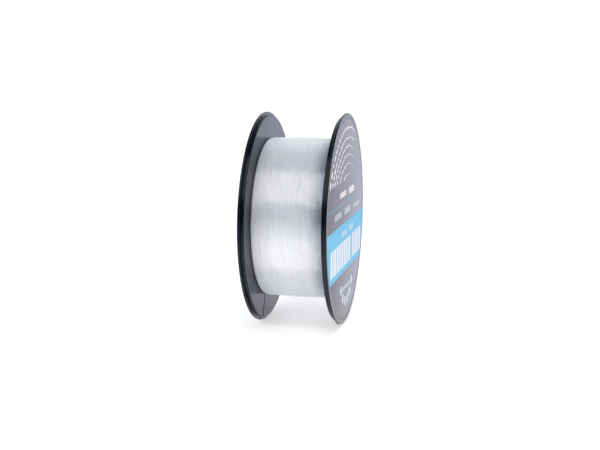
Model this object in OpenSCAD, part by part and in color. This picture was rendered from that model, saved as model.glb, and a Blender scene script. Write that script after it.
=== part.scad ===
// Fishing line spool: two moulded halves that snap together at the hub, the
// wound line, the tape that starts it, and a printed label on each side.
// The spool's axis is X, Z is up, and the origin is the spool's centre.
// Angles round the spool are degrees about +X, from +Y towards +Z.

/* [Spool] */
// Diameter over the flanges
flange_d = 100; // [80:1:130]
// Clear width between the flanges, which the line fills
line_gap = 34.6; // [25:0.2:50]
// Thickness of a flange's inner disc, on the line's side
disc_t = 1.6; // [1:0.1:2]
// Thickness of a flange's outer disc, whose edge stands out as a lip
lip_t = 1.1; // [0.8:0.1:1.4]
// How far the lip stands out past the inner disc
lip_out = 1.7; // [1:0.1:3]
// Rounding of the lip's two edges
lip_round = 0.35; // [0.1:0.05:0.4]

/* [Hub] */
// Outside diameter of the barrel that the line is wound on
barrel_d = 62; // [50:1:66]
// Wall of the barrel
barrel_wall = 1.8; // [1.4:0.1:2.4]
// Diameter of the arbor bore, for a half-inch spindle
arbor_d = 13; // [8:0.5:20]
// Wall of the arbor tube
arbor_wall = 1.6; // [1.2:0.1:2.4]
// Number of ribs between the arbor tube and the barrel
rib_n = 6; // [3:1:8]
// Thickness of a rib
rib_t = 1.4; // [1:0.1:2]

/* [Snap joint] */
// How far the right half's spigot reaches into the left half's barrel
spigot_l = 7; // [4:0.5:10]
// Wall of the spigot
spigot_wall = 1.4; // [1:0.1:2]
// Clearance between the spigot and the barrel
spigot_gap = 0.05; // [0.02:0.01:0.2]
// Height of the snap bead
bead_h = 0.35; // [0.2:0.05:0.5]

/* [Line slit] */
// Direction of the slit that holds the line's end
slit_angle = -107.5; // [-180:0.5:180]
// Width of the slit at the winding
slit_in_w = 1; // [0.6:0.1:1.5]
// Width of the slit at the rim
slit_out_w = 1.5; // [0.8:0.1:2.5]
// Distance from the axis at which the slit begins
slit_start_r = 36; // [33:0.5:42]

/* [Winding] */
// Radius of the winding at its middle
winding_r = 38.05; // [34:0.05:44]
// How much lower the winding's ends are than its middle
winding_crown = 0.35; // [0:0.05:1]
// Extra drop of the last turns beside each flange
winding_shoulder = 0.6; // [0:0.1:2]
// Gap between the last turn and the flange
winding_gap = 0.05; // [0.02:0.01:0.2]

/* [Labels] */
// Diameter of the recess that holds a label
recess_d = 95.4; // [70:0.2:96]
// Depth of the recess
recess_h = 0.3; // [0.3:0.05:0.6]
// Diameter of a label
label_d = 95; // [68:0.2:95.6]
// Thickness of a label
label_t = 0.25; // [0.15:0.05:0.3]
// Diameter of the hole in the back label
label_hole_d = 15; // [10:0.5:24]

/* [Hidden] */
$fn = 96;

flange_r = flange_d / 2;
disc_r = flange_r - lip_out;
flange_t = disc_t + lip_t;
gap_half = line_gap / 2;
step_x = gap_half + disc_t;
face_x = gap_half + flange_t;
floor_x = face_x - recess_h;
barrel_r = barrel_d / 2;
barrel_in_r = barrel_r - barrel_wall;
arbor_r = arbor_d / 2;
boss_r = arbor_r + arbor_wall;
spigot_r = barrel_in_r - spigot_gap;
spigot_in_r = spigot_r - spigot_wall;
bead_x = -spigot_l + 1.6;
bead_w = 1.6;
round_steps = 4;
// the tape that holds the line's inner end to the barrel
tape_w = 12;
tape_arc = 38;
tape_t = 0.15;
tape_angle = 60;
// what the mould's gates leave on the rims: [direction, height] of each
gate_w = 0.9;
right_gates = [[-15.5, 0.5], [-112, 0.3], [164, 0.15]];
left_gates = [[164, 0.15]];
BLACK = [0.06, 0.06, 0.08];

// turns a profile drawn as [radius, place along X] about the X axis
module about_x(angle = 360) {
    rotate([0, 90, 0]) rotate_extrude(angle = angle) children();
}

// a plain ring or disc from x0 to x1
module ring(x0, x1, r_out, r_in = 0) {
    about_x() translate([r_in, x0]) square([r_out - r_in, x1 - x0]);
}

// the flange on the +X side: the inner disc, the lip with its round edges, and the label's recess
function lip_edge() = concat(
    [for (i = [0:round_steps]) let (a = -90 + 90 * i / round_steps)
        [flange_r - lip_round + lip_round * cos(a), step_x + lip_round + lip_round * sin(a)]],
    [for (i = [0:round_steps]) let (a = 90 * i / round_steps)
        [flange_r - lip_round + lip_round * cos(a), face_x - lip_round + lip_round * sin(a)]]);

module flange() {
    about_x() polygon(concat(
        [[arbor_r, gap_half], [disc_r, gap_half], [disc_r, step_x]],
        lip_edge(),
        [[recess_d / 2, face_x], [recess_d / 2, floor_x], [arbor_r, floor_x]]));
}

// the small marks that the mould leaves on the lip's edge
module gates(marks) {
    for (m = marks)
        rotate([m[0], 0, 0])
            translate([step_x + 0.2, flange_r - 0.5, -gate_w / 2])
                cube([lip_t - 0.4, 0.5 + m[1], gate_w]);
}

// ribs between the arbor tube and the inside of the barrel, from x0 to x1
module ribs(x0, x1, r_out) {
    for (i = [0:rib_n - 1])
        rotate([i * 360 / rib_n, 0, 0])
            translate([x0, boss_r - 0.5, -rib_t / 2])
                cube([x1 - x0, r_out - boss_r + 0.5, rib_t]);
}

// the ring that snaps the halves together, drawn a little larger for its groove
module snap_bead(grow = 0) {
    about_x() polygon([
        [spigot_r - 0.3, bead_x - bead_w / 2 - grow],
        [spigot_r + grow, bead_x - bead_w / 2 - grow],
        [spigot_r + bead_h + grow, bead_x - bead_w / 4 - grow],
        [spigot_r + bead_h + grow, bead_x + bead_w / 4 + grow],
        [spigot_r + grow, bead_x + bead_w / 2 + grow],
        [spigot_r - 0.3, bead_x + bead_w / 2 + grow]]);
}

// the radial slit through the left flange, wider at the rim
module line_slit() {
    rotate([slit_angle, 0, 0])
        rotate([0, -90, 0])
            translate([0, 0, gap_half - 1])
                linear_extrude(height = flange_t + 2)
                    polygon([
                        [-slit_in_w / 2, slit_start_r], [slit_in_w / 2, slit_start_r],
                        [slit_out_w / 2, flange_r + 1], [-slit_out_w / 2, flange_r + 1]]);
}

module left_half() {
    color(BLACK) difference() {
        union() {
            mirror([1, 0, 0]) flange();
            ring(-gap_half - 1, 0, barrel_r, barrel_in_r);
            ring(-gap_half - 1, 0, boss_r, arbor_r);
            ribs(-gap_half - 1, -spigot_l - 0.3, barrel_in_r + 0.5);
            mirror([1, 0, 0]) gates(left_gates);
        }
        line_slit();
        // the groove that the snap bead sits in
        snap_bead(0.05);
    }
}

module right_half() {
    color(BLACK) union() {
        flange();
        ring(0, gap_half + 1, barrel_r, barrel_in_r);
        ring(0, gap_half + 1, boss_r, arbor_r);
        ribs(2, gap_half + 1, barrel_in_r + 0.5);
        // the spigot, with the web that ties it to the barrel's end
        ring(-spigot_l, 2, spigot_r, spigot_in_r);
        ring(0.3, 2, barrel_in_r + 0.5, spigot_in_r);
        snap_bead();
        gates(right_gates);
    }
}

// height of the winding at a place along the spool, falling away towards the flanges
winding_end = gap_half - winding_gap;
function winding_top(x) = winding_r
    - winding_crown * pow(abs(x) / winding_end, 2)
    - winding_shoulder * pow(abs(x) / winding_end, 24);

module line_winding() {
    steps = 28;
    color([0.9, 0.92, 0.94]) difference() {
        about_x() polygon(concat(
            [[barrel_r, -winding_end]],
            [for (i = [0:steps])
                // the places crowd towards the ends, where the outline bends
                let (x = -winding_end * cos(180 * i / steps)) [winding_top(x), x]],
            [[barrel_r, winding_end]]));
        tape_strip();
    }
}

// a strip of tape that follows the barrel
module tape_strip() {
    rotate([tape_angle - tape_arc / 2 + 90, 0, 0])
        about_x(tape_arc) translate([barrel_r, -tape_w / 2]) square([tape_t, tape_w]);
}

module anchor_tape() {
    color([0.85, 0.8, 0.6]) tape_strip();
}

module front_label() {
    color([0.35, 0.35, 0.38]) ring(floor_x, floor_x + label_t, label_d / 2);
}

module back_label() {
    color([0.35, 0.35, 0.38]) ring(-floor_x - label_t, -floor_x, label_d / 2, label_hole_d / 2);
}

left_half();
right_half();
line_winding();
anchor_tape();
front_label();
back_label();
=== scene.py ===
import math
import random

import bmesh
import bpy
from mathutils import Matrix, Vector


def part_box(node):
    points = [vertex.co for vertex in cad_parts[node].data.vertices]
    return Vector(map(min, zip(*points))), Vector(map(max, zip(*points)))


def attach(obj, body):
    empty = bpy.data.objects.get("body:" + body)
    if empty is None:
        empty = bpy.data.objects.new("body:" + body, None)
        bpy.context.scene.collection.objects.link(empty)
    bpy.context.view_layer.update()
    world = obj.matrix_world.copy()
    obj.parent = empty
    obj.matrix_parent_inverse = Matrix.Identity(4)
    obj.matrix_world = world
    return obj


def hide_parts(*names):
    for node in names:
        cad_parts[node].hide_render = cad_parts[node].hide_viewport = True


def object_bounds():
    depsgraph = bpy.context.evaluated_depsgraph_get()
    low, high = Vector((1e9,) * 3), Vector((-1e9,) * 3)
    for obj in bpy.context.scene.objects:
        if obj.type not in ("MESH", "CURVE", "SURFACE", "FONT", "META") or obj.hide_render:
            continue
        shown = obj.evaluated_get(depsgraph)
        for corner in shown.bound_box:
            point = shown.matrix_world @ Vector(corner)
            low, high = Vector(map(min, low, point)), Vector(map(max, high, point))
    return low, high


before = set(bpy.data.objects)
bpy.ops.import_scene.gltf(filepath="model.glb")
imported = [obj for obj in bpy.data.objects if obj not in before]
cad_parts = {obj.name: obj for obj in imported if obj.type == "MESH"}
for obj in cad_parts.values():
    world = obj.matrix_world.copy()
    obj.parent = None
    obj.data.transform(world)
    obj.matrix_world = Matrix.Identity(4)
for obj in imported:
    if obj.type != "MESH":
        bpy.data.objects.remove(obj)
CAD_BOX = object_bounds()

# A fishing line spool: two moulded halves, the wound line, the tape that starts it and two labels.
# The spool's axis is X, Z is up, and the camera looks from -Y. Lengths are in millimetres, except
# where a name ends in _M or a comment says metres; the frame's boxes, the materials and the lights
# are in metres. Angles round the spool are degrees about +X, from +Y towards +Z.
MM = 0.001

# ---- the spool's own dimensions, read from the frame where it holds them
LIP_R = round(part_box("left_half")[1].y / MM, 1)
FACE_X = round(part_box("right_half")[1].x / MM, 2)
WINDING_END = round(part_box("line_winding")[1].x / MM, 2)
WINDING_R = round(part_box("line_winding")[1].z / MM, 2)
LABEL_R = round(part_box("front_label")[1].y / MM, 1)
FLOOR_X = round(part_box("front_label")[0].x / MM, 2)      # the floor of the label's recess
LABEL_TOP_X = round(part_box("front_label")[1].x / MM, 2)
FLOOR_Z_M = CAD_BOX[0].z                                 # what the spool stands on

GAP_HALF = 17.3        # from the middle to a flange's inner face
DISC_T = 1.6           # thickness of a flange's inner disc
LIP_OUT = 1.7          # how far the lip stands out past the inner disc
LIP_ROUND = 0.35       # rounding of the lip's edges
RECESS_R = 47.7        # the label's recess
BARREL_R = 31.0        # the barrel that the line is wound on
BARREL_IN_R = 29.2
ARBOR_R = 6.5          # the bore for a spindle
BOSS_R = 8.1           # the tube round that bore
SPIGOT_R = 29.15       # the spigot that snaps the halves together
SPIGOT_IN_R = 27.75
SPIGOT_L = 7.0
WEB_X = 2.0            # where the web between the spigot and the barrel ends
BEAD_H = 0.35          # the snap bead on the spigot
BEAD_W = 1.6
BEAD_X = 1.6 - SPIGOT_L  # the bead's middle, this far from the spigot's end
GROOVE_GAP = 0.05      # room round the bead in its groove
RIB_N = 6
RIB_T = 1.4
RIB_SETBACK = 0.3      # how far the left half's ribs stay from the spigot's end
SLIT_ANGLE = -107.5    # the slit that holds the line's end
SLIT_IN_W = 1.0
SLIT_OUT_W = 1.5
SLIT_START_R = 36.0
WINDING_CROWN = 0.35   # how much lower the winding's ends are than its middle
WINDING_SHOULDER = 0.6  # and how much lower still the last turns are
SHOULDER_POWER = 24    # how suddenly they drop
LABEL_HOLE_R = 7.5     # the back label's hole
# what the mould's gates leave on the rims: (angle, height) of each
RIGHT_GATES = ((-15.5, 0.5), (-112.0, 0.3), (164.0, 0.15))
LEFT_GATES = ((164.0, 0.15),)
GATE_W = 0.9
GATE_INSET = 0.2       # how far a gate mark stays from the lip's two sides
ROOT = 0.5             # how deep a gate mark or rib is rooted in what it grows from
OVERLAP = 1.0          # how far ribs reach into a flange, and the slit's cut past one
RIM_FROM_R = RECESS_R + 0.2  # a darker, less blue copy of the plastic, as painted shade, is on faces further out than this
RIM_TILT = 0.8         # whose normals lie along X by less than this
TURN_STEPS = 240       # faces round the flanges


# ---- camera
CAMERA_AZIMUTH = 12.1    # degrees from straight in front, towards +X
CAMERA_ELEVATION = 10.1
CAMERA_DISTANCE_M = 0.521
CAMERA_LENS = 65.3       # on a 36 mm wide sensor
CAMERA_SHIFT = (-0.0086, -0.0131)


def direction(azimuth, elevation):
    """The unit vector towards a place round the spool; azimuth 0 is in front, at -Y."""
    a, e = math.radians(azimuth), math.radians(elevation)
    return Vector((math.sin(a) * math.cos(e), -math.cos(a) * math.cos(e), math.sin(e)))


def aim(thing, way):
    """Turns a camera or a light to look along a vector."""
    thing.rotation_euler = way.to_track_quat("-Z", "Y").to_euler()


def make_camera():
    data = bpy.data.cameras.new("camera")
    data.sensor_width = 36
    data.lens = CAMERA_LENS
    data.shift_x, data.shift_y = CAMERA_SHIFT
    data.clip_start, data.clip_end = 0.01, 50
    camera = bpy.data.objects.new("camera", data)
    back = direction(CAMERA_AZIMUTH, CAMERA_ELEVATION)
    camera.location = back * CAMERA_DISTANCE_M
    aim(camera, -back)
    bpy.context.scene.collection.objects.link(camera)
    bpy.context.scene.camera = camera


make_camera()


# ---- node tools
MIX_FIRST, MIX_SECOND, MIX_COLOUR = 6, 7, 2  # where a Mix node keeps its colour sockets


def plug(socket, value):
    """Links another socket to this one, or sets this one's own value."""
    if isinstance(value, bpy.types.NodeSocket):
        socket.id_data.links.new(value, socket)
    else:
        socket.default_value = value


def node_maker(tree):
    """A function that adds a node to an emptied tree, with its sockets given by name."""
    tree.nodes.clear()

    def node(kind, settings=(), **sockets):
        made = tree.nodes.new(kind)
        for key, value in dict(settings).items():
            setattr(made, key, value)
        for key, value in sockets.items():
            plug(made.inputs[key.replace("_", " ")], value)
        return made

    return node


def new_material(name):
    """A node material with nothing in it, and the function that adds its nodes."""
    material = bpy.data.materials.new(name)
    material.use_nodes = True
    return material, node_maker(material.node_tree)


def object_place(node):
    """Where a point is in the object's own coordinates, as three sockets: X, Y and Z."""
    place = node("ShaderNodeTexCoord").outputs["Object"]
    return node("ShaderNodeSeparateXYZ", Vector=place).outputs


def stretched_noise(node, scale, detail=3.0, roughness=0.5):
    """Noise in the object's own coordinates, stretched by the scale along each axis."""
    place = node("ShaderNodeTexCoord").outputs["Object"]
    mapping = node("ShaderNodeMapping", Vector=place, Scale=scale)
    return node("ShaderNodeTexNoise", Vector=mapping.outputs["Vector"], Scale=1.0,
                Detail=detail, Roughness=roughness).outputs["Fac"]


NOISE_LOW, NOISE_HIGH = 0.3, 0.7  # noise lies mostly between these


def ramp(node, value, stops):
    """A colour that runs through stops of (place, colour) as the value rises."""
    made = node("ShaderNodeValToRGB", Fac=value)
    elements = made.color_ramp.elements
    elements[0].position, elements[0].color = stops[0][0], (*stops[0][1], 1)
    elements[1].position, elements[1].color = stops[-1][0], (*stops[-1][1], 1)
    for place, colour in stops[1:-1]:
        elements.new(place).color = (*colour, 1)
    return made.outputs["Color"]


def remap(node, value, start, end, low=0.0, high=1.0, kind="LINEAR"):
    """Goes from low to high as the value goes from start to end."""
    made = node("ShaderNodeMapRange", {"interpolation_type": kind}, Value=value,
                From_Min=start, From_Max=end, To_Min=low, To_Max=high)
    return made.outputs["Result"]


def spread(node, noise, low, high):
    """Noise spread over its usual range, from low to high."""
    return remap(node, noise, NOISE_LOW, NOISE_HIGH, low, high)


def combined(node, operation, first, second, clamp=False):
    """The result of an operation on two values."""
    made = node("ShaderNodeMath", {"operation": operation, "use_clamp": clamp}, Value=first)
    plug(made.inputs[1], second)
    return made.outputs["Value"]


def blended(node, share, first, second):
    """A colour that goes from the first, a socket, to the second as the share goes from 0 to 1."""
    made = node("ShaderNodeMix", {"data_type": "RGBA"}, Factor=share)
    plug(made.inputs[MIX_FIRST], first)
    plug(made.inputs[MIX_SECOND], (*second, 1))
    return made.outputs[MIX_COLOUR]


# ---- materials
GLOSS_TINT = (0.76, 0.88, 1.0, 1)  # the black plastic's gloss is slightly blue
METAL_MIDDLE = 0.35      # how much of the wound line's light is mirrored, in its middle
METAL_END = 0.80         # and beside the flanges, as part of their painted shade
# the wound line's colour in the flanges' shade, painted on beside each flange
LINE_IN_FLANGE_SHADE = (0.50, 0.53, 0.66)
# where the winding turns to that painted shade, near each flange: from and to, in mm along the spool
FLANGE_SHADE_FADES = ((-16.3, -18.2), (7.0, 19.0))
EDGE_SHEEN_START = 0.35   # a label's painted sheen up and down starts at this share of its radius
EDGE_SHEEN = 0.18         # and reaches this much at its edge


def moulded_plastic(name, dark, light, ior, smooth, rubbed):
    """Black plastic with a faint ripple and rubbed spots, between two colours and roughnesses."""
    material, node = new_material(name)
    ripple = stretched_noise(node, (90, 90, 90), detail=2.0)
    grain = stretched_noise(node, (2600, 2600, 2600), detail=2.0)
    rubs = stretched_noise(node, (420, 420, 420), detail=6.0, roughness=0.65)
    bump_wide = node("ShaderNodeBump", Height=ripple, Strength=0.05, Distance=0.0004)
    bump = node("ShaderNodeBump", Height=grain, Strength=0.03, Distance=0.00002,
                Normal=bump_wide.outputs["Normal"])
    shader = node("ShaderNodeBsdfPrincipled", IOR=ior, Specular_Tint=GLOSS_TINT,
                  Base_Color=ramp(node, rubs, ((NOISE_LOW, dark), (0.75, light))),
                  Roughness=spread(node, rubs, smooth, rubbed), Normal=bump.outputs["Normal"])
    node("ShaderNodeOutputMaterial", Surface=shader.outputs["BSDF"])
    return material


def clear_line():
    """Wound nylon: glossy turns over a body that scatters light, with painted shade darkening it
    beside the flanges.
    """
    material, node = new_material("clear_wound_line")
    turns = stretched_noise(node, (2400, 60, 60), detail=3.0, roughness=0.6)
    kinks = stretched_noise(node, (2600, 300, 300), detail=2.0)
    stray = stretched_noise(node, (1700, 260, 260), detail=1.0)
    along = object_place(node)["X"]
    # painted shade: the winding turns darker, bluer and more mirror-like towards each flange
    shade_fades = [remap(node, along, start * MM, end * MM, kind="SMOOTHERSTEP") for start, end in FLANGE_SHADE_FADES]
    flange_shade_share = combined(node, "MAXIMUM", *shade_fades)
    middle = ramp(node, turns, ((NOISE_LOW, (0.79, 0.825, 0.90)), (0.5, (0.88, 0.905, 0.96)),
                                (NOISE_HIGH, (0.95, 0.965, 0.99))))
    bump_stray = node("ShaderNodeBump", Height=stray, Strength=1.0, Distance=0.00033)
    bump = node("ShaderNodeBump", Height=kinks, Strength=0.8, Distance=0.00006,
                Normal=bump_stray.outputs["Normal"])
    shader = node("ShaderNodeBsdfPrincipled", IOR=1.53,
                  Base_Color=blended(node, flange_shade_share, middle, LINE_IN_FLANGE_SHADE),
                  Metallic=remap(node, flange_shade_share, 0, 1, METAL_MIDDLE, METAL_END),
                  Roughness=spread(node, turns, 0.09, 0.17), Normal=bump.outputs["Normal"])
    node("ShaderNodeOutputMaterial", Surface=shader.outputs["BSDF"])
    return material


def printed(name, dark, light, painted_sheen=None):
    """Ink on a satin card, slightly mottled; it may turn to a third colour across and outwards, a
    painted sheen.
    """
    material, node = new_material(name)
    mottle = stretched_noise(node, (700, 700, 700), detail=4.0, roughness=0.6)
    film = stretched_noise(node, (900, 900, 900), detail=2.0)
    bump = node("ShaderNodeBump", Height=film, Strength=0.02, Distance=0.00003)
    colour = ramp(node, mottle, ((NOISE_LOW, dark), (NOISE_HIGH, light)))
    # painted sheen: the card lightens from its near edge (-Y) to its far edge, and towards its top and
    # bottom
    if painted_sheen:
        place = object_place(node)
        radius = LABEL_R * MM
        across = remap(node, place["Y"], -radius, radius)
        height = node("ShaderNodeMath", {"operation": "ABSOLUTE"}, Value=place["Z"]).outputs["Value"]
        outwards = remap(node, height, EDGE_SHEEN_START * radius, radius, 0, EDGE_SHEEN, "SMOOTHSTEP")
        colour = blended(node, combined(node, "ADD", across, outwards, clamp=True), colour, painted_sheen)
    shader = node("ShaderNodeBsdfPrincipled", IOR=1.5, Normal=bump.outputs["Normal"],
                  Base_Color=colour, Roughness=spread(node, mottle, 0.36, 0.44))
    node("ShaderNodeOutputMaterial", Surface=shader.outputs["BSDF"])
    return material


def masking_tape():
    """Creped paper tape."""
    material, node = new_material("creped_tape")
    crepe = stretched_noise(node, (300, 1600, 1600), detail=4.0, roughness=0.6)
    bump = node("ShaderNodeBump", Height=crepe, Strength=0.5, Distance=0.0001)
    colour = ramp(node, crepe, ((NOISE_LOW, (0.62, 0.53, 0.33)), (NOISE_HIGH, (0.78, 0.7, 0.48))))
    shader = node("ShaderNodeBsdfPrincipled", Roughness=0.8, Base_Color=colour,
                  Normal=bump.outputs["Normal"])
    node("ShaderNodeOutputMaterial", Surface=shader.outputs["BSDF"])
    return material


FLOOR_GLOW = 0.50        # how brightly the floor glows for the camera
# what the spool mirrors of the floor: (place along Y in metres, glow, how much bluer)
FLOOR_BANDS = ((-0.30, 0.05, 1.0), (-0.13, 0.44, 1.0), (-0.045, 0.44, 1.0), (-0.040, 0.17, 1.15),
               (-0.024, 0.22, 1.1), (-0.010, 0.52, 1.0), (0.10, 0.46, 1.35))


def light_table():
    """The studio floor: white acrylic that glows evenly for the camera, and in bands for the spool."""
    material, node = new_material("white_acrylic_table")
    mottle = stretched_noise(node, (60, 60, 60), detail=5.0, roughness=0.6)
    front, back = FLOOR_BANDS[0][0], FLOOR_BANDS[-1][0]
    share = remap(node, object_place(node)["Y"], front, back)
    bands = ramp(node, share, [((y - front) / (back - front), (glow, glow, glow * blue))
                               for y, glow, blue in FLOOR_BANDS])
    seen = node("ShaderNodeLightPath").outputs["Is Camera Ray"]
    colour = ramp(node, mottle, ((NOISE_LOW, (0.58, 0.57, 0.565)), (NOISE_HIGH, (0.60, 0.59, 0.585))))
    shader = node("ShaderNodeBsdfPrincipled", Roughness=0.6, Emission_Strength=1.0, Base_Color=colour,
                  Emission_Color=blended(node, seen, bands, (FLOOR_GLOW,) * 3))
    node("ShaderNodeOutputMaterial", Surface=shader.outputs["BSDF"])
    return material


PLASTIC = moulded_plastic("moulded_black_plastic", dark=(0.0022, 0.0020, 0.0150),
                          light=(0.0050, 0.0047, 0.0220), ior=1.37, smooth=0.14, rubbed=0.25)
# the same black plastic, darker and less blue for the rims: painted shade
RIM_SHADED_PLASTIC = moulded_plastic("black_rim_painted_shade", dark=(0.0008, 0.0010, 0.0032),
                              light=(0.0022, 0.0025, 0.0062), ior=1.38, smooth=0.12, rubbed=0.2)
LINE = clear_line()
# the charcoal card, with a painted sheen lightening it across and towards its top and bottom
CARD = printed("label_charcoal", (0.030, 0.029, 0.038), (0.040, 0.039, 0.050),
               painted_sheen=(0.31, 0.305, 0.345))
BLUE = printed("label_blue", (0.03, 0.42, 0.64), (0.05, 0.46, 0.70))
WHITE = printed("label_white", (0.84, 0.79, 0.75), (0.89, 0.84, 0.80))
PALE = printed("label_pale_grey", (0.58, 0.59, 0.61), (0.68, 0.69, 0.71))
TAPE = masking_tape()
TABLE = light_table()


# ---- mesh tools
def add_piece(name, bm, materials, sharp=32.0, flat_normals=True):
    """Makes an object of a bmesh, smooth but for the edges sharper than the given angle."""
    bmesh.ops.recalc_face_normals(bm, faces=bm.faces)
    limit = math.radians(sharp)
    for edge in bm.edges:
        edge.smooth = len(edge.link_faces) == 2 and edge.calc_face_angle(0.0) < limit
    for face in bm.faces:
        face.smooth = True
    mesh = bpy.data.meshes.new(name)
    bm.to_mesh(mesh)
    bm.free()
    for material in materials:
        mesh.materials.append(material)
    piece = bpy.data.objects.new(name, mesh)
    bpy.context.scene.collection.objects.link(piece)
    if flat_normals:
        weighted = piece.modifiers.new("flat_normals", "WEIGHTED_NORMAL")
        weighted.keep_sharp = True
    return piece


def rounded(corners, steps=4):
    """An outline of points from corners (radius, place along X, rounding), with arcs at round ones."""
    points = []
    for i, (r, x, rounding) in enumerate(corners):
        here = Vector((r, x))
        if rounding == 0:
            points.append(here)
            continue
        before = (Vector(corners[i - 1][:2]) - here).normalized()
        after = (Vector(corners[(i + 1) % len(corners)][:2]) - here).normalized()
        half = before.angle(after) / 2
        centre = here + (before + after).normalized() * rounding / math.sin(half)
        start = here + before * rounding / math.tan(half) - centre
        end = here + after * rounding / math.tan(half) - centre
        points += [centre + start.slerp(end, k / steps) * rounding for k in range(steps + 1)]
    return points


def ring_of(bm, outline, angle):
    """The points of an outline of (radius, place along X) at an angle round the X axis, in radians."""
    across, up = math.cos(angle) * MM, math.sin(angle) * MM
    return [bm.verts.new((x * MM, r * across, r * up)) for r, x in outline]


def join_rings(bm, rings, spans):
    """Faces from each ring to the next, over its first spans."""
    count = len(rings[0])
    for ring, after in zip(rings, rings[1:] + rings[:1]):
        for j in range(spans):
            k = (j + 1) % count
            bm.faces.new((ring[j], ring[k], after[k], after[j]))


def turned(outline, closed=True):
    """A bmesh of an outline turned about the X axis; an open one gets a flat disc at each end."""
    bm = bmesh.new()
    rings = [ring_of(bm, outline, 2 * math.pi * i / TURN_STEPS) for i in range(TURN_STEPS)]
    join_rings(bm, rings, len(outline) if closed else len(outline) - 1)
    if not closed:
        bm.faces.new([ring[0] for ring in rings])
        bm.faces.new([ring[-1] for ring in reversed(rings)])
    return bm


def turn_about_x(bm, angle):
    """Turns a bmesh about the X axis, by an angle in degrees."""
    matrix = Matrix.Rotation(math.radians(angle), 3, "X")
    bmesh.ops.rotate(bm, verts=bm.verts, cent=(0, 0, 0), matrix=matrix)


def block(low, high, angle):
    """A box from corner to corner, turned about X by an angle."""
    bm = bmesh.new()
    bmesh.ops.create_cube(bm, size=1.0)
    low, high = Vector(low), Vector(high)
    size, middle = high - low, (high + low) / 2
    for vert in bm.verts:
        vert.co = Vector([vert.co[k] * size[k] + middle[k] for k in range(3)]) * MM
    turn_about_x(bm, angle)
    return bm


def prism(bm, outline, x_low, x_high):
    """Adds to a bmesh a closed prism over an outline of (y, z), from x_low to x_high."""
    low = [bm.verts.new((x_low * MM, y * MM, z * MM)) for y, z in outline]
    high = [bm.verts.new((x_high * MM, y * MM, z * MM)) for y, z in outline]
    bm.faces.new(low[::-1])
    bm.faces.new(high)
    for i in range(len(outline)):
        k = (i + 1) % len(outline)
        bm.faces.new((low[i], low[k], high[k], high[i]))


def combine(bm, others, operation):
    """The bmesh joined with, or cut by, each of the others."""
    mesh = bpy.data.meshes.new("base")
    bm.to_mesh(mesh)
    bm.free()
    base = bpy.data.objects.new("base", mesh)
    bpy.context.scene.collection.objects.link(base)
    for other in others:
        bmesh.ops.recalc_face_normals(other, faces=other.faces)
        tool_mesh = bpy.data.meshes.new("tool")
        other.to_mesh(tool_mesh)
        other.free()
        tool = bpy.data.objects.new("tool", tool_mesh)
        bpy.context.scene.collection.objects.link(tool)
        boolean = base.modifiers.new("combine", "BOOLEAN")
        boolean.operation, boolean.solver, boolean.object = operation, "EXACT", tool
    result = bmesh.new()
    result.from_object(base, bpy.context.evaluated_depsgraph_get())
    for thing in [m.object for m in base.modifiers] + [base]:
        bpy.data.objects.remove(thing)
    return result


# ---- the two moulded halves; a side is 1 at +X and -1 at -X
def finish_half(bm, name, node):
    """Makes one half of the spool, with a darker, less blue copy of its plastic painted on the edges
    round its flange as shade.
    """
    bm.normal_update()
    for face in bm.faces:
        if abs(face.normal.x) < RIM_TILT and face.calc_center_median().yz.length > RIM_FROM_R * MM:
            face.material_index = 1
    piece = add_piece(name, bm, [PLASTIC, RIM_SHADED_PLASTIC])
    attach(piece, "root")
    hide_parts(node)


def hub_outline(side):
    """Corners of the arbor tube and of the hub's hollow, from the middle to the flange."""
    return [(ARBOR_R, 0, 0), (BOSS_R, 0, 0.1), (BOSS_R, side * GAP_HALF, 0.3),
            (BARREL_IN_R, side * GAP_HALF, 0.3)]


def flange_outline(side):
    """The flange's corners from the barrel round the rim to the arbor's mouth."""
    step_x = GAP_HALF + DISC_T
    disc_r = LIP_R - LIP_OUT
    corners = ((BARREL_R, GAP_HALF, 0.15), (disc_r, GAP_HALF, 0.18), (disc_r, step_x, 0.06),
               (LIP_R, step_x, LIP_ROUND), (LIP_R, FACE_X, LIP_ROUND),
               (RECESS_R, FACE_X, 0.12), (RECESS_R, FLOOR_X, 0.06), (ARBOR_R, FLOOR_X, 0.25))
    return [(r, side * x, rounding) for r, x, rounding in corners]


def bead_outline(foot_r, gap):
    """Corners of the snap bead, or of its groove when there is a gap round it."""
    top_r = SPIGOT_R + BEAD_H + gap
    foot, top = BEAD_W / 2 + gap, BEAD_W / 4 + gap
    return [(foot_r, BEAD_X - foot, 0), (top_r, BEAD_X - top, 0),
            (top_r, BEAD_X + top, 0), (foot_r, BEAD_X + foot, 0)]


def gate_marks(marks, side):
    """The small stubs that the mould leaves on the lip's edge."""
    x0, x1 = sorted((side * (GAP_HALF + DISC_T + GATE_INSET), side * (FACE_X - GATE_INSET)))
    return [block((x0, LIP_R - ROOT, -GATE_W / 2), (x1, LIP_R + height, GATE_W / 2), angle)
            for angle, height in marks]


def ribs(x0, x1):
    """The ribs between the arbor tube and the barrel."""
    low, high = (x0, BOSS_R - ROOT, -RIB_T / 2), (x1, BARREL_IN_R + ROOT, RIB_T / 2)
    return [block(low, high, i * 360 / RIB_N) for i in range(RIB_N)]


def slit_wedge():
    """The wedge that the slit removes: wider at the rim."""
    end_r = LIP_R + OVERLAP
    corners = ((SLIT_START_R, SLIT_IN_W / 2), (end_r, SLIT_OUT_W / 2),
               (end_r, -SLIT_OUT_W / 2), (SLIT_START_R, -SLIT_IN_W / 2))
    bm = bmesh.new()
    prism(bm, corners, -FACE_X - OVERLAP, -GAP_HALF + OVERLAP)
    turn_about_x(bm, SLIT_ANGLE)
    return bm


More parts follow.
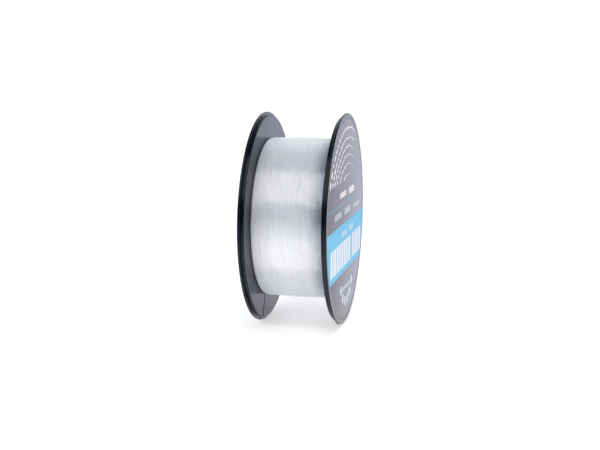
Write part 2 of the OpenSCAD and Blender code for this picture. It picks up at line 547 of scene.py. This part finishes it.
def make_left_half():
    corners = [*hub_outline(-1), *bead_outline(BARREL_IN_R, GROOVE_GAP), (BARREL_IN_R, 0, 0),
               (BARREL_R, 0, 0.05), *flange_outline(-1)]
    bm = turned(rounded(corners))
    added = ribs(-GAP_HALF - OVERLAP, -SPIGOT_L - RIB_SETBACK) + gate_marks(LEFT_GATES, -1)
    bm = combine(bm, added, "UNION")
    bm = combine(bm, [slit_wedge()], "DIFFERENCE")
    finish_half(bm, "left_flange_and_hub", "left_half")


def make_right_half():
    corners = [*hub_outline(1), (BARREL_IN_R, WEB_X, 0), (SPIGOT_IN_R, WEB_X, 0),
               (SPIGOT_IN_R, -SPIGOT_L, 0.2), (SPIGOT_R, -SPIGOT_L, 0.2), *bead_outline(SPIGOT_R, 0),
               (SPIGOT_R, 0, 0), (BARREL_R, 0, 0.05), *flange_outline(1)]
    bm = turned(rounded(corners))
    bm = combine(bm, ribs(WEB_X, GAP_HALF + OVERLAP) + gate_marks(RIGHT_GATES, 1), "UNION")
    finish_half(bm, "right_flange_and_hub", "right_half")


# ---- the wound line
LINE_D = 0.35            # the line's own diameter, and so the pitch of its turns
VALLEY = 0.42 * LINE_D   # how deep the valleys between the turns are
TURN_SHAPE = (0.0, 0.14, 0.36, 0.64, 0.86)  # places across one turn, from one valley to the next
TURN_LIFT = 0.008        # how unevenly the turns lie in height, from one to the next
TURN_WAVE = 0.010        # and each along its own length
TURN_SWAY = 0.006        # and how far the valleys between them wander sideways
WAVE_COUNTS = (1, 2, 3, 5, 8)  # how many of each wave there are round the spool
AROUND = 160             # faces round the winding
WINDING_IN_R = BARREL_R + 0.2  # inside the winding's body, clear of the tape


def winding_top(x):
    """The winding's radius at a place along the spool."""
    share = min(abs(x) / WINDING_END, 1)
    return WINDING_R - WINDING_CROWN * share ** 2 - WINDING_SHOULDER * share ** SHOULDER_POWER


def slow_waves(rng, size):
    """A smooth function of the angle round the spool, the same again after a full turn."""
    waves = [(k, rng.uniform(0, 2 * math.pi), size * rng.uniform(0.3, 1) / k ** 0.5)
             for k in WAVE_COUNTS]
    return lambda a: sum(height * math.sin(k * a + phase) for k, phase, height in waves)


def make_winding():
    """The outer layer of line turn by turn, on a closed body that reaches in to the barrel."""
    rng = random.Random(11)
    turns = round(2 * WINDING_END / LINE_D)
    pitch = 2 * WINDING_END / turns
    lift = [(rng.gauss(0, TURN_LIFT), slow_waves(rng, TURN_WAVE)) for _ in range(turns)]
    sway = [slow_waves(rng, TURN_SWAY) for _ in range(turns + 1)]
    bm = bmesh.new()
    rings = []
    for i in range(AROUND):
        a = 2 * math.pi * i / AROUND
        outline = []
        for turn in range(turns):
            for share in TURN_SHAPE:
                x = -WINDING_END + (turn + share) * pitch
                if 0 < turn and share == 0:
                    x += sway[turn](a)
                bulge = math.sqrt(max(0.0, 1 - (2 * share - 1) ** 2))
                r = winding_top(x) - VALLEY * (1 - bulge)
                if share > 0:
                    r += lift[turn][0] + lift[turn][1](a)
                outline.append((r, x))
        outline += [(winding_top(WINDING_END) - VALLEY, WINDING_END),
                    (WINDING_IN_R, WINDING_END), (WINDING_IN_R, -WINDING_END)]
        rings.append(ring_of(bm, outline, a))
    join_rings(bm, rings, len(rings[0]))
    piece = add_piece("wound_line", bm, [LINE], sharp=75.0, flat_normals=False)
    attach(piece, "root")
    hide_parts("line_winding")


# ---- the printed labels, drawn across (y) and up (z) from the label's centre
LABEL_TURN = -1.4        # how far the front label was stuck on askew, in degrees
INK_T = 0.02             # ink stands this much out of the card
INK_ROOT = 0.03          # and is rooted this deep in it
CARD_ROUND = 0.06        # rounding of a card's edges
BAND_R = LABEL_R - 0.06  # printed bands end just inside the card's edge
PRINT_R = LABEL_R - 1.6  # the middle of each dash of the arcs lies inside this
# the arcs' dashes: lengths and gaps are drawn between two angles, and widths between two shares
LONG_DASH, SHORT_DASH, DASH_GAP, DASH_WIDTH = (5, 9), (2.2, 4.2), (1.2, 2.2), (0.8, 1.15)
LEAST_DASH = 0.8         # the shortest angle that is printed
SHORT_UNTIL = 0.4        # where the short dashes end, as a share of the way from left to right
BROKEN_UNTIL = 0.66      # and where the arcs that don't run on end
THINNING = 1.4           # how fast an arc thins on its way to the right
THIN_SHARE = 0.16        # down to this share of its boldest width
ARC_STEP = 0.8           # about how long the straight steps of a dash are


def label_card(side, hole_r):
    """A label's card: a thin disc, with a hole for the spindle or none."""
    x0, x1 = side * FLOOR_X, side * LABEL_TOP_X
    if hole_r:
        return turned(rounded([(hole_r, x0, 0), (LABEL_R, x0, 0), (LABEL_R, x1, CARD_ROUND),
                               (hole_r, x1, CARD_ROUND)]))
    # the points near the axis only steer the rounding, and are dropped
    outline = rounded([(0.001, x0, 0), (LABEL_R, x0, 0), (LABEL_R, x1, CARD_ROUND), (0.001, x1, 0)])
    return turned(outline[1:-1], closed=False)


def bar(y, z, width, height):
    """An upright rectangle with its middle at (y, z)."""
    return [(y - width / 2, z - height / 2), (y + width / 2, z - height / 2),
            (y + width / 2, z + height / 2), (y - width / 2, z + height / 2)]


def on_circle(centre, radius, angle):
    """The point of a circle at an angle, in radians."""
    return (centre[0] + radius * math.cos(angle), centre[1] + radius * math.sin(angle))


def arc_dash(centre, radius, start, end, width):
    """A dash of an arc between two angles, in degrees, square at its ends."""
    steps = max(2, round(abs(end - start) * math.pi / 180 * radius / ARC_STEP))
    angles = [math.radians(start + (end - start) * k / steps) for k in range(steps + 1)]
    outer = [on_circle(centre, radius + width / 2, a) for a in angles]
    inner = [on_circle(centre, radius - width / 2, a) for a in reversed(angles)]
    return outer + inner


def chord_band(z_low, z_high):
    """The part of a label between two heights."""
    low, high = math.asin(z_low / BAND_R), math.asin(z_high / BAND_R)
    steps = 24
    side = [low + (high - low) * k / steps for k in range(steps + 1)]
    return ([(BAND_R * math.cos(a), BAND_R * math.sin(a)) for a in side]
            + [(-BAND_R * math.cos(a), BAND_R * math.sin(a)) for a in reversed(side)])


def ink(name, outlines, side, material, level=1, turn=LABEL_TURN):
    """Prints outlines on a label; a higher level lies over a lower one."""
    bm = bmesh.new()
    x0, x1 = LABEL_TOP_X - INK_ROOT, LABEL_TOP_X + INK_T * level
    for outline in outlines:
        outline = outline if side > 0 else [(-y, z) for y, z in outline]
        prism(bm, outline, side * x0, side * x1)
    turn_about_x(bm, turn)
    piece = add_piece(name, bm, [material], flat_normals=False)
    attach(piece, "root")


def ripple_arcs():
    """Nested arcs over the label's upper half: bold dashes at the left, thin lines at the right."""
    rng = random.Random(5)
    centre, base_z = (4.0, -12.5), 19.0
    dashes = []
    # each arc's radius, its boldest width, and whether it runs on to the right as a thin line
    for radius, bold, solid in ((55.5, 2.1, False), (50.8, 1.9, False), (46.8, 1.7, False),
                                (42.8, 1.5, False), (38.5, 1.2, True), (33.5, 0.9, True)):
        start = math.degrees(math.asin((base_z - centre[1]) / radius))
        angle = 180 - start
        while angle > start:
            share = (180 - start - angle) / (180 - 2 * start)  # 0 at the left, 1 at the right
            length = rng.uniform(*(LONG_DASH if solid or share > SHORT_UNTIL else SHORT_DASH))
            end = max(angle - length, start)
            width = bold * max(THIN_SHARE, 1 - THINNING * share) * rng.uniform(*DASH_WIDTH)
            middle = on_circle(centre, radius, math.radians((angle + end) / 2))
            on_card = math.hypot(*middle) < PRINT_R and angle - end > LEAST_DASH
            if on_card and (solid or share < BROKEN_UNTIL):
                dashes.append(arc_dash(centre, radius, angle, end, width))
            angle = end - rng.uniform(*DASH_GAP)
    return dashes


def bar_row(y_start, y_end, z, height, widths, gap):
    """Upright bars side by side from y_start to y_end, in a repeating set of widths."""
    bars, y, k = [], y_start, 0
    while y + widths[k % len(widths)] <= y_end:
        width = widths[k % len(widths)]
        bars.append(bar(y + width / 2, z, width, height))
        y += width + gap
        k += 1
    return bars


def fan(centre, radius, start, end, count, length, width):
    """Short radial bars along an arc."""
    bars = []
    for k in range(count):
        a = math.radians(start + (end - start) * k / (count - 1))
        across, along = Vector((-math.sin(a), math.cos(a))), Vector((math.cos(a), math.sin(a)))
        middle = Vector(centre) + along * radius
        bars.append([tuple(middle + along * u * length / 2 + across * v * width / 2)
                     for u, v in ((-1, -1), (1, -1), (1, 1), (-1, 1))])
    return bars


def make_front_label():
    card = add_piece("front_label_card", label_card(1, 0), [CARD])
    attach(card, "root")
    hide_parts("front_label")
    ink("front_label_band", [chord_band(-24.6, -1.2)], 1, BLUE)
    ink("front_label_rule", [bar(-8.0, 8.4, 76.0, 0.3)], 1, BLUE)
    ink("front_label_arcs", ripple_arcs(), 1, WHITE)
    ink("front_label_panels", bar_row(-16.5, 1.0, 12.8, 2.5, (2.2, 1.5, 2.8, 1.9), 0.7)
        + bar_row(7.0, 22.8, 12.6, 3.0, (2.6, 2.0, 1.5, 2.6), 0.6), 1, WHITE)
    ink("front_label_notes", bar_row(-29.5, -13.0, 4.2, 2.8, (1.5, 1.0, 2.0), 1.3)
        + bar_row(-4.0, 11.0, 4.0, 3.2, (1.2, 2.0, 1.0), 1.2)
        + bar_row(20.0, 38.0, 3.4, 2.0, (1.2, 0.8, 1.6), 1.3), 1, PALE)
    ink("front_label_band_notes", bar_row(-12.0, 3.0, -6.2, 2.6, (1.3, 0.9, 1.9, 1.1), 1.2)
        + bar_row(8.0, 19.5, -5.8, 2.8, (1.1, 1.7, 0.9), 1.2), 1, PALE, level=2)
    ink("front_label_blocks", bar_row(-39.0, 14.0, -15.8, 12.2, (3.2, 2.4, 3.8, 2.8), 1.7)
        + bar_row(17.2, 42.0, -15.6, 12.0, (2.8, 2.2, 3.2), 1.6), 1, WHITE, level=2)
    ink("front_label_badge", fan((2.0, -23.0), 17.0, -146, -34, 6, 4.2, 4.0)
        + bar_row(-8.0, 12.5, -32.8, 1.6, (2.4, 1.6, 2.0), 0.8), 1, PALE)


def make_back_label():
    card = add_piece("back_label_card", label_card(-1, LABEL_HOLE_R), [CARD])
    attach(card, "root")
    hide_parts("back_label")
    ink("back_label_band", [chord_band(-36.0, -24.0)], -1, BLUE, turn=0.0)
    ink("back_label_rule", [bar(0, 24.0, 76.0, 0.42)], -1, BLUE, turn=0.0)
    rows = []
    for k in range(4):
        rows += bar_row(-26.0 + 3 * k, 26.0 - 3 * k, 28.5 + k * 3.6, 1.5, (3.2, 1.8, 4.1, 2.4), 0.9)
    ink("back_label_notes", rows, -1, PALE, turn=0.0)
    dashes = [arc_dash((0, 0), 12.0 + 2.6 * ring, 60 * k + 4, 60 * k + 56, 0.5)
              for ring in range(3) for k in range(6)]
    ink("back_label_rings", dashes, -1, WHITE, turn=0.0)


make_left_half()
make_right_half()
make_winding()
make_front_label()
make_back_label()
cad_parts["anchor_tape"].data.materials.clear()
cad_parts["anchor_tape"].data.materials.append(TAPE)


# ---- the studio, in metres
FLOOR_SIZE_M = 12.0
SOFTBOX_DISTANCE_M = 0.85
WARM = (1.0, 0.92, 0.81)
COOL = (0.74, 0.86, 1.0)
# how bright the studio is from the camera's side (-1) to the back (1), and how much of that is cool
WORLD_LEVELS = ((-1.0, 0.09, 1.0), (-0.86, 0.2, 1.0), (-0.5, 0.66, 1.0), (0.2, 0.84, 0.8),
                (0.55, 0.98, 0.3))
ROOF_START, ROOF_END = 0.58, 0.94  # the studio dims between these heights, of 1 straight overhead
ROOF_LEVEL = 0.32        # to this much of itself
BACKDROP_LEVEL = 1.1     # how bright the studio is where the camera sees it


def make_floor():
    bm = bmesh.new()
    bmesh.ops.create_grid(bm, x_segments=8, y_segments=8, size=FLOOR_SIZE_M / 2)
    for vert in bm.verts:
        vert.co.z = FLOOR_Z_M
    floor = add_piece("floor", bm, [TABLE], flat_normals=False)
    return floor


def area_light(name, where, width, height, radiance, target=(0, 0, 0), colour=(1, 1, 1), glossy=True):
    """A soft box of a given radiance that faces its target, and isn't seen by the camera."""
    data = bpy.data.lights.new(name, "AREA")
    data.color = colour
    data.shape = "RECTANGLE"
    data.size, data.size_y = width, height
    data.energy = radiance * math.pi * width * height
    light = bpy.data.objects.new(name, data)
    light.location = where
    aim(light, Vector(target) - Vector(where))
    light.visible_camera = False
    light.visible_glossy = glossy
    bpy.context.scene.collection.objects.link(light)


def top_light(name, where, strength, spread_angle, only=None):
    """An even, soft light from far away that gives no highlights, and may light one thing only."""
    data = bpy.data.lights.new(name, "SUN")
    data.energy, data.angle = strength, math.radians(spread_angle)
    light = bpy.data.objects.new(name, data)
    aim(light, -where)
    light.visible_glossy = False
    if only:
        lit = bpy.data.collections.new(name + "_lights_only")
        lit.objects.link(only)
        light.light_linking.receiver_collection = lit
    bpy.context.scene.collection.objects.link(light)


def make_world():
    """A white studio that is dark where the camera stands and dim straight overhead."""
    world = bpy.data.worlds.new("studio")
    bpy.context.scene.world = world
    world.use_nodes = True
    node = node_maker(world.node_tree)
    way = node("ShaderNodeSeparateXYZ", Vector=node("ShaderNodeTexCoord").outputs["Generated"]).outputs
    stops = [((along + 1) / 2, [grey * (1 + cool * (tint - 1)) for tint in COOL])
             for along, grey, cool in WORLD_LEVELS]
    level = ramp(node, remap(node, way["Y"], -1, 1), stops)
    roof = remap(node, way["Z"], ROOF_START, ROOF_END, 1.0, ROOF_LEVEL, "SMOOTHSTEP")
    glow = node("ShaderNodeBackground", Color=level, Strength=roof)
    white = node("ShaderNodeBackground", Color=(1, 1, 1, 1), Strength=BACKDROP_LEVEL)
    seen = node("ShaderNodeLightPath").outputs["Is Camera Ray"]
    mix = node("ShaderNodeMixShader", Fac=seen)
    plug(mix.inputs[1], glow.outputs["Background"])
    plug(mix.inputs[2], white.outputs["Background"])
    node("ShaderNodeOutputWorld", Surface=mix.outputs["Shader"])


FLOOR = make_floor()
make_world()
area_light("key_softbox", direction(4, 52) * SOFTBOX_DISTANCE_M, width=1.3, height=0.78,
           radiance=1.32, colour=WARM)
for fill, azimuth in (("left_fill", -50), ("right_fill", 55)):
    area_light(fill, direction(azimuth, 8) * SOFTBOX_DISTANCE_M, width=0.6, height=0.5,
               radiance=1.2, glossy=False)
# a strip that lies on the floor in front of the spool, and shines straight up
area_light("low_bounce", (-0.01, -0.084, FLOOR_Z_M + 0.001), width=0.3, height=0.082,
           radiance=0.48, target=(-0.01, -0.084, 1), colour=WARM)
top_light("overhead", direction(140, 66), strength=0.5, spread_angle=34)
top_light("floor_light", direction(6, 60), strength=0.85, spread_angle=16, only=FLOOR)
bpy.context.scene.view_settings.view_transform = "Standard"
